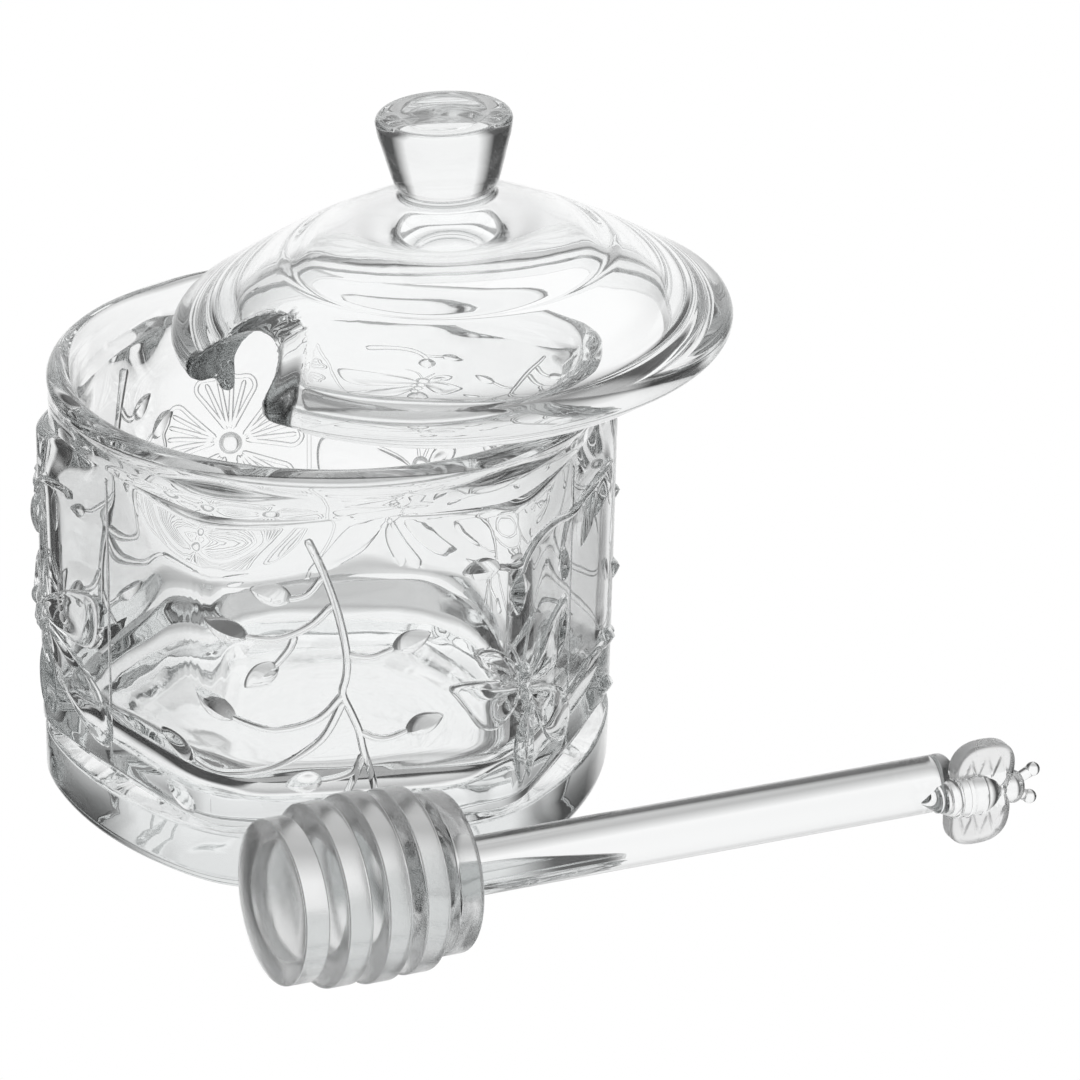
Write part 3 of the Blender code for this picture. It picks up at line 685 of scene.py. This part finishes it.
def round_cut_edges(piece, heading, reach, rounds):
    """Soften the sharp edges of the cut the way that fire polishing does."""
    shape = bmesh.new()
    shape.from_mesh(piece.data)
    bmesh.ops.triangulate(shape, faces=shape.faces)
    ahead = Vector((math.sin(math.radians(heading)), -math.cos(math.radians(heading)), 0.0))
    sharp = set()
    for edge in shape.edges:
        if len(edge.link_faces) == 2 and edge.calc_face_angle() > math.radians(35.0):
            middle = (edge.verts[0].co + edge.verts[1].co) / 2
            if middle.dot(ahead) > 25.0 * MM and (middle - ahead * middle.dot(ahead)).xy.length < 14.0 * MM:
                sharp.update(edge.verts)
    near = set(sharp)
    edge_ring = set(sharp)
    while edge_ring:
        grown = set()
        for vert in edge_ring:
            for edge in vert.link_edges:
                other = edge.other_vert(vert)
                if other not in near and min((other.co - point.co).length for point in sharp) < reach * MM:
                    grown.add(other)
        near |= grown
        edge_ring = grown
    for turn in range(rounds):
        bmesh.ops.smooth_vert(shape, verts=list(near), factor=0.5,
                              use_axis_x=True, use_axis_y=True, use_axis_z=True)
    shape.to_mesh(piece.data)
    shape.free()


round_cut_edges(lid, NOTCH_HEADING, NOTCH_ROUNDING, NOTCH_ROUNDS)
tilt = Matrix.Rotation(-math.radians(LID_TILT_RIGHT_UP), 4, "Y") @ Matrix.Rotation(
    math.radians(LID_TILT_BACK_UP), 4, "X")
seat = Matrix.Translation(Vector((*LID_MIDDLE, POT_HEIGHT + LID_LIP_DEPTH + REST_GAP)) * MM)
lid.data.transform(seat @ tilt)
smooth_but_creased(lid, LID_CREASE)
lid.data.materials.clear()
lid.data.materials.append(clear_glass("lid_pressed_glass", GLASS_TINT, 0.03, (0.0, 0.015)))
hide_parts("lid")
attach(lid, "root")


# The dipper is a third piece of glass: five thick discs on a core, a plain rod, and a small bee melted
# on at the end. It lies on its discs and on the bee's lower wing. Its own origin is the middle disc's
# centre, and its +Z runs down the rod to the bee.
DIPPER_PLACE = (9.5, -76.8)
DIPPER_HEIGHT = 16.76
DIPPER_YAW = 27.5
DIPPER_DROP = 2.72
DISC_RADII = (14.35, 16.0, 16.5, 16.2, 14.3)
DISC_SPACING = 7.2
DISC_CORE = 9.5
DISC_HALF = 2.35
DISC_ROUND = 0.55
ROD_RADIUS = 5.25
ROD_END = 117.5
DIPPER_COLUMNS = 120


def dipper_outline():
    """(radius, height) from the rod's end along the rod, over the discs, to the domed front."""
    outline = spaced_outline([(0.5, ROD_END), (ROD_RADIUS - 1.0, ROD_END)], 1.0)
    outline += arc((ROD_RADIUS - 0.9, ROD_END - 0.9), 0.9, 80.0, 0.0, 5)
    middle_disc = len(DISC_RADII) // 2
    rear = middle_disc * DISC_SPACING + DISC_HALF
    outline += spaced_outline([(ROD_RADIUS, ROD_END - 2.0), (ROD_RADIUS, rear + 4.2)], 6.0)
    outline += smooth_outline([(ROD_RADIUS, rear + 4.0), (ROD_RADIUS + 0.5, rear + 2.4),
                               (ROD_RADIUS + 2.6, rear + 0.9), (DISC_RADII[-1] - 3.4, rear + 0.2)], 0.6)
    for index in reversed(range(len(DISC_RADII))):
        station = (index - middle_disc) * DISC_SPACING
        radius = DISC_RADII[index]
        outline += arc((radius - DISC_ROUND, station + DISC_HALF - DISC_ROUND), DISC_ROUND, 68.0, 0.0, 4)
        outline += arc((radius - DISC_ROUND, station - DISC_HALF + DISC_ROUND), DISC_ROUND, 0.0, -68.0, 4)
        if index:
            valley = station - DISC_SPACING / 2
            next_face = valley - DISC_SPACING / 2 + DISC_HALF + 0.15
            outline += smooth_outline([(radius - 1.6, station - DISC_HALF - 0.15),
                                       (DISC_CORE + 0.7, valley + 0.35), (DISC_CORE, valley),
                                       (DISC_CORE + 0.7, valley - 0.35),
                                       (DISC_RADII[index - 1] - 1.6, next_face)], 0.6)
    front = -middle_disc * DISC_SPACING
    outline += smooth_outline([(12.4, front - 2.8), (9.0, front - 3.5), (5.0, front - 4.0),
                               (3.2, front - 4.15), (0.5, front - 4.2)], 0.7)
    return outline


dipper_turns = [math.tau * column / DIPPER_COLUMNS for column in range(DIPPER_COLUMNS)]
dipper = new_piece("glass_dipper", loft("glass_dipper", turned_rings(dipper_outline(), dipper_turns)))


# The bee is worked in the same glass against the side of the rod's end: a pointed, ringed body, an
# oval head with two stout feelers, and behind them two thick round wings with a satin face and
# engraved zigzag lines. Its stations are counted from the tip of its tail.
BEE_OFFSET = 5.0
BEE_LOW = 0.6
BEE_TAIL = 109.2
BEE_BODY = ((0.0, 0.12), (3.4, 2.3), (7.0, 3.8), (9.4, 4.05), (12.2, 3.95), (14.6, 3.2), (16.6, 1.7),
            (18.2, 1.2))
BEE_RINGS = (3.4, 7.0, 9.4, 12.2)
RING_RISE = 0.25
RING_SPREAD = 0.3
FEELER_RADIUS = 1.1
FEELER_TIP = 1.35
BEE_HEAD = (19.8, (3.2, 2.8, 2.1))
WING_MIDDLE = (4.6, 12.8)
WING_HALF = (5.6, 6.4)
WING_BLUNTNESS = 0.8
WING_WAIST_TURN = 141.4
WING_OFFSET = 4.7
WING_THICKNESS = 3.4
WING_ROUND = 0.9
WING_REACH = 10.2
WING_LINES = ((-4.8, 3.4), (-3.4, 7.4), (-1.9, 3.6), (-0.2, 8.2), (1.5, 3.8), (3.1, 7.8), (4.6, 3.4))
LINE_DEPTH = 0.28
LINE_WIDTH = 0.24
SATIN_REACH = (4.0, 19.4)
SATIN_OFF_BODY = 4.35
DIPPER_CREASE = 40.0
bee = bpy.data.collections.new("bee")
bpy.context.scene.collection.children.link(bee)


def bee_body():
    """The pointed body with its raised rings."""
    rings = []
    for along, radius in smooth_outline(BEE_BODY, 0.25):
        radius += sum(RING_RISE * math.exp(-((along - at) / RING_SPREAD) ** 2) for at in BEE_RINGS)
        ring = []
        for side in range(48):
            turn = math.tau * side / 48
            ring.append(Vector((math.cos(turn) * radius + BEE_LOW, math.sin(turn) * radius - BEE_OFFSET,
                                BEE_TAIL + along)) * MM)
        rings.append(ring)
    return new_piece("bee_body", loft("bee_body", rings), bee)


def bee_ball(name, middle, radii):
    """An oval drop of glass."""
    shape = bmesh.new()
    bmesh.ops.create_uvsphere(shape, u_segments=32, v_segments=20, radius=MM)
    placing = Matrix.Translation(Vector(middle) * MM) @ Matrix.Diagonal((*radii, 1.0))
    bmesh.ops.transform(shape, matrix=placing, verts=shape.verts)
    return new_piece(name, finished_mesh(name, shape), bee)


def bee_feeler(name, side):
    """A short stout feeler with a round tip."""
    root = Vector((BEE_LOW + side * 1.4, -BEE_OFFSET, BEE_TAIL + 21.0))
    tip = Vector((BEE_LOW + side * 2.8, -BEE_OFFSET, BEE_TAIL + 23.9))
    ahead = (tip - root).normalized()
    across = ahead.cross(Vector((0.0, 1.0, 0.0))).normalized()
    lift = across.cross(ahead)
    rings = []
    for step in range(7):
        ring = []
        for column in range(20):
            turn = math.tau * column / 20
            out = (across * math.cos(turn) + lift * math.sin(turn)) * FEELER_RADIUS
            ring.append((root.lerp(tip, step / 6) + out) * MM)
        rings.append(ring)
    new_piece(name, loft(name, rings), bee)
    bee_ball(name + "_tip", tip, (FEELER_TIP,) * 3)


def wing_outline(columns):
    """(across, along) round both wings: blunt ovals that meet in a waist."""
    half = []
    for step in range(columns + 1):
        turn = math.radians(WING_WAIST_TURN * (2.0 * step / columns - 1.0))
        across = math.copysign(abs(math.cos(turn)) ** WING_BLUNTNESS, math.cos(turn))
        along = math.copysign(abs(math.sin(turn)) ** WING_BLUNTNESS, math.sin(turn))
        half.append((WING_MIDDLE[0] + WING_HALF[0] * across, WING_MIDDLE[1] + WING_HALF[1] * along))
    return half + [(-across, along) for across, along in reversed(half[1:-1])]


def line_dip(across, along):
    """How deep the engraved zigzag is at a place on the wings."""
    spot = Vector((along - WING_MIDDLE[1], abs(across), 0.0))
    nearest = 9.0
    for start, end in zip(WING_LINES, WING_LINES[1:]):
        start, end = Vector((*start, 0.0)), Vector((*end, 0.0))
        share = min(1.0, max(0.0, (spot - start).dot(end - start) / (end - start).length_squared))
        nearest = min(nearest, (spot - start.lerp(end, share)).length)
    return LINE_DEPTH * math.exp(-(nearest / LINE_WIDTH) ** 2)


def bee_wings():
    """Both wings as one thick plate, its front face engraved and its edge rounded."""
    front = -WING_OFFSET - WING_THICKNESS / 2
    back = front + WING_THICKNESS
    section = [(0.02 + 0.024 * step, front) for step in range(34)]
    for inset, depth in arc((WING_ROUND, WING_ROUND), WING_ROUND, 270.0, 180.0, 5):
        section.append((1.0 - inset / WING_REACH, front + depth))
    for inset, depth in arc((WING_ROUND, WING_ROUND), WING_ROUND, 180.0, 90.0, 5):
        section.append((1.0 - inset / WING_REACH, back - 2.0 * WING_ROUND + depth))
    section += [(share, back) for share in (0.75, 0.6, 0.4, 0.2, 0.02)]
    outline = wing_outline(110)
    rings = []
    for share, depth in section:
        ring = []
        for across, along in outline:
            across *= share
            along = WING_MIDDLE[1] + (along - WING_MIDDLE[1]) * share
            dip = line_dip(across, along) if depth == front and share < 0.9 else 0.0
            ring.append(Vector((across + BEE_LOW, depth + dip, BEE_TAIL + along)) * MM)
        rings.append(ring)
    return new_piece("bee_wings", loft("bee_wings", rings), bee)


bee_body()
bee_ball("bee_head", (BEE_LOW, -BEE_OFFSET, BEE_TAIL + BEE_HEAD[0]), BEE_HEAD[1])
for side in (-1, 1):
    bee_feeler(f"bee_feeler_{side:+d}", side)
bee_wings()
fuse(dipper, bee)
# Its rod and body are clear, its wings have a satin face, and the discs are a little milky.
dipper.data.materials.clear()
for name, tint, wave, smear in (("dipper_clear_glass", (0.975, 0.98, 0.98), 0.03, (0.0, 0.02)),
                                ("bee_satin_glass", (0.91, 0.912, 0.912), 0.25, (0.26, 0.40)),
                                ("dipper_milky_glass", (0.94, 0.942, 0.942), 0.10, (0.14, 0.24))):
    dipper.data.materials.append(clear_glass(name, tint, wave, smear))
for face in dipper.data.polygons:
    spot = face.center / MM
    off_body = math.hypot(spot.x - BEE_LOW, spot.y + BEE_OFFSET) > SATIN_OFF_BODY
    beyond_rod = spot.z > ROD_END or math.hypot(spot.x, spot.y) > ROD_RADIUS + 0.1
    if off_body and beyond_rod and SATIN_REACH[0] < spot.z - BEE_TAIL < SATIN_REACH[1]:
        face.material_index = 1
    elif spot.z < len(DISC_RADII) // 2 * DISC_SPACING + DISC_HALF:
        face.material_index = 2
lay = Matrix.Rotation(math.radians(DIPPER_YAW), 4, "Z") @ Matrix.Rotation(
    math.radians(90.0 + DIPPER_DROP), 4, "Y")
place = Matrix.Translation(Vector((*DIPPER_PLACE, DIPPER_HEIGHT)) * MM)
dipper.data.transform(place @ lay)
smooth_but_creased(dipper, DIPPER_CREASE)
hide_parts("dipper")
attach(dipper, "root")


# The floor is a sheet of clear acrylic over a lit white sweep, a hair below the glass. The camera sees
# it burnt out to plain white, as in a catalogue picture, and the glass sees the sweep through it.
SHEET_RADIUS = 0.60
SHEET_PLACE = (0.03, 0.0, -0.0002)
shape = bmesh.new()
bmesh.ops.create_circle(shape, cap_ends=True, segments=128, radius=SHEET_RADIUS)
sheet = new_piece("studio_floor", finished_mesh("studio_floor", shape))
sheet.location = SHEET_PLACE
acrylic = bpy.data.materials.new("acrylic_over_white")
acrylic.use_nodes = True
acrylic_nodes = acrylic.node_tree.nodes
acrylic_links = acrylic.node_tree.links
acrylic_nodes.remove(acrylic_nodes["Principled BSDF"])
clear_sheet = acrylic_nodes.new("ShaderNodeBsdfTransparent")
burnt_out = acrylic_nodes.new("ShaderNodeEmission")
burnt_out.inputs["Strength"].default_value = 1.0
first_sight = acrylic_nodes.new("ShaderNodeLightPath")
either = acrylic_nodes.new("ShaderNodeMixShader")
acrylic_links.new(first_sight.outputs["Is Camera Ray"], either.inputs["Fac"])
acrylic_links.new(clear_sheet.outputs["BSDF"], either.inputs[1])
acrylic_links.new(burnt_out.outputs["Emission"], either.inputs[2])
acrylic_links.new(either.outputs["Shader"], acrylic_nodes["Material Output"].inputs["Surface"])
sheet.data.materials.append(acrylic)


# The studio is a white sweep round the glass with a dark flag on each side of it, grey under the
# table, and a soft light overhead, so that the edges of the glass are drawn in grey. Light is followed
# a long way, because it turns many times inside the thick glass.
ROUND_TONES = ((0.0, 1.0), (0.13, 1.0), (0.21, 0.08), (0.42, 0.04), (0.50, 0.42), (0.62, 0.5), (1.0, 0.6))
LEVEL_TONES = ((0.0, 0.8), (0.06, 0.62), (0.12, 0.5), (0.21, 1.0), (0.60, 1.0), (0.72, 0.85))
OVERHEAD_LIGHT = 1.1
OVERHEAD_FROM = (0.30, 0.70)
LIGHT_TURNS = 24
world = bpy.data.worlds.new("white_sweep")
bpy.context.scene.world = world
bpy.context.scene.cycles.max_bounces = LIGHT_TURNS
bpy.context.scene.cycles.transmission_bounces = LIGHT_TURNS
bpy.context.scene.cycles.glossy_bounces = LIGHT_TURNS
bpy.context.scene.view_settings.view_transform = "Standard"
world.use_nodes = True
sky = world.node_tree.nodes
sky_links = world.node_tree.links
sky.clear()


def tone_ramp(tones, value):
    """A ramp of grey tones over a value."""
    ramp = sky.new("ShaderNodeValToRGB")
    while len(ramp.color_ramp.elements) < len(tones):
        ramp.color_ramp.elements.new(0.5)
    for stop, (position, tone) in zip(ramp.color_ramp.elements, tones):
        stop.position = position
        stop.color = (tone, tone, tone, 1.0)
    sky_links.new(value, ramp.inputs["Fac"])
    return ramp.outputs["Color"]


def tone_mix(kind, share, first, second):
    """Two tones mixed or multiplied."""
    mix = sky.new("ShaderNodeMix")
    mix.data_type = "RGBA"
    mix.blend_type = kind
    mix.inputs[0].default_value = 1.0
    if share is not None:
        sky_links.new(share, mix.inputs[0])
    for value, socket in ((first, mix.inputs[6]), (second, mix.inputs[7])):
        if isinstance(value, float):
            socket.default_value = (value, value, value, 1.0)
        else:
            sky_links.new(value, socket)
    return mix.outputs[2]


sky_place = sky.new("ShaderNodeTexCoord")
sky_axes = sky.new("ShaderNodeSeparateXYZ")
sky_links.new(sky_place.outputs["Generated"], sky_axes.inputs["Vector"])
sky_turn = sky.new("ShaderNodeMath")
sky_turn.operation = "ARCTAN2"
sky_links.new(sky_axes.outputs["X"], sky_turn.inputs[0])
sky_links.new(sky_axes.outputs["Y"], sky_turn.inputs[1])
sky_side = sky.new("ShaderNodeMath")
sky_side.operation = "ABSOLUTE"
sky_links.new(sky_turn.outputs["Value"], sky_side.inputs[0])
round_share = sky.new("ShaderNodeMapRange")
round_share.inputs["From Max"].default_value = math.pi
sky_links.new(sky_side.outputs["Value"], round_share.inputs["Value"])
level_share = sky.new("ShaderNodeMapRange")
level_share.inputs["From Min"].default_value = -1.0
sky_links.new(sky_axes.outputs["Z"], level_share.inputs["Value"])
overhead = sky.new("ShaderNodeMapRange")
overhead.interpolation_type = "SMOOTHSTEP"
overhead.inputs["From Min"].default_value = OVERHEAD_FROM[0]
overhead.inputs["From Max"].default_value = OVERHEAD_FROM[1]
sky_links.new(sky_axes.outputs["Z"], overhead.inputs["Value"])
sweep = tone_mix("MULTIPLY", None, tone_ramp(ROUND_TONES, round_share.outputs["Result"]),
                 tone_ramp(LEVEL_TONES, level_share.outputs["Result"]))
tent = sky.new("ShaderNodeBackground")
sky_links.new(tone_mix("MIX", overhead.outputs["Result"], sweep, OVERHEAD_LIGHT), tent.inputs["Color"])
backdrop = sky.new("ShaderNodeBackground")
backdrop.inputs["Color"].default_value = (1.0, 1.0, 1.0, 1.0)
seen = sky.new("ShaderNodeLightPath")
choose = sky.new("ShaderNodeMixShader")
sky_out = sky.new("ShaderNodeOutputWorld")
sky_links.new(seen.outputs["Is Camera Ray"], choose.inputs["Fac"])
sky_links.new(tent.outputs["Background"], choose.inputs[1])
sky_links.new(backdrop.outputs["Background"], choose.inputs[2])
sky_links.new(choose.outputs["Shader"], sky_out.inputs["Surface"])


# The camera stands to the right of the pot's middle, looks down on it and is turned a little.
CAMERA_PLACE = (38.7, -736.8, 391.2)
CAMERA_DOWN = 25.03
CAMERA_ROLL = 1.41
CAMERA_LENS = 147.5
camera_data = bpy.data.cameras.new("camera")
camera_data.lens = CAMERA_LENS
camera_data.sensor_width = 36.0
camera_data.clip_start = 0.01
camera_data.clip_end = 20.0
camera = bpy.data.objects.new("camera", camera_data)
bpy.context.scene.collection.objects.link(camera)
camera.matrix_world = (
    Matrix.Translation(Vector(CAMERA_PLACE) * MM)
    @ Matrix.Rotation(math.radians(90.0 - CAMERA_DOWN), 4, "X")
    @ Matrix.Rotation(math.radians(CAMERA_ROLL), 4, "Z")
)
bpy.context.scene.camera = camera
